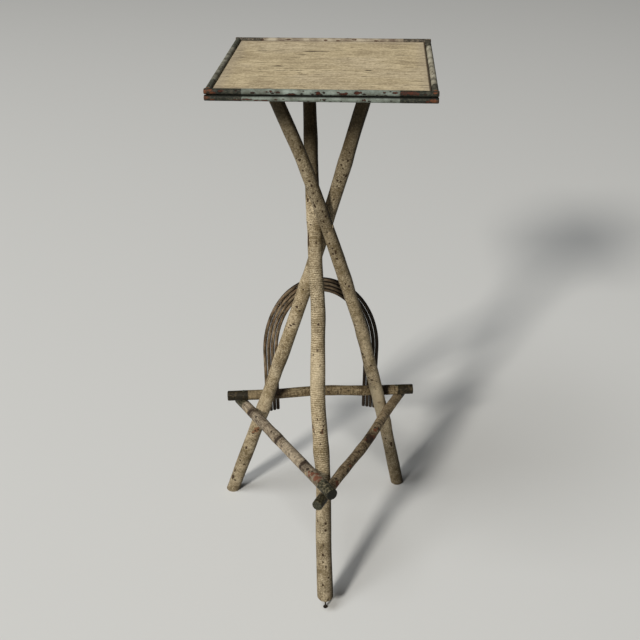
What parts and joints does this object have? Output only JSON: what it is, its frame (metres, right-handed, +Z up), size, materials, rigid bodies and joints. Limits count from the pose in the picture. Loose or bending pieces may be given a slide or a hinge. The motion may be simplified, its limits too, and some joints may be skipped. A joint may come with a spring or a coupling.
{
  "type": "tripod side table",
  "caption": "Tall rustic side table: a square twig-edged tray top on three crossed stick legs, tied low by a triangle of sticks, with an arch of bent twigs behind.",
  "frame": {"origin": "on the floor, under the middle of the table's outline", "axes": "+Z up, +X to the right and -Y to the front, as seen by someone who faces the front leg"},
  "size_m": [0.3484, 0.3974, 0.822],
  "materials": {
    "board": "worn cream paint over grey-brown weathered wood",
    "edging_blue": "chipped pale blue-grey paint with dark green ends",
    "edging_grey": "chipped grey-green paint with dark green ends",
    "leg_paint": "cream paint, finely cracked and flecked with bare brown wood",
    "stretcher_bark": "worn brown paint with dark green ends",
    "arch_bark": "dull grey-brown bark",
    "nail_steel": "dark, rusted"
  },
  "bodies": {
    "root": {"top_board": "board", "edging_front_upper": "edging_blue", "edging_front_lower": "edging_blue", "edging_back_upper": "edging_grey", "edging_back_lower": "edging_grey", "edging_left_upper": "edging_grey", "edging_left_lower": "edging_grey", "edging_right_upper": "edging_blue", "edging_right_lower": "edging_blue", "leg_front": "leg_paint", "leg_back_right": "leg_paint", "leg_back_left": "leg_paint", "stretcher_back": "stretcher_bark", "stretcher_left": "stretcher_bark", "stretcher_right": "stretcher_bark", "arch_twig_outer": "arch_bark", "arch_twig_second": "arch_bark", "arch_twig_third": "arch_bark", "arch_twig_inner": "arch_bark", "front_foot_nail": "nail_steel", "leg_crossing_nails": "nail_steel", "leg_top_nails": "nail_steel", "stretcher_nails": "nail_steel", "corner_nails": "nail_steel", "arch_nails": "nail_steel", "edging_lower_nails": "nail_steel", "edging_upper_nails": "nail_steel"}
  },
  "joints": []
}
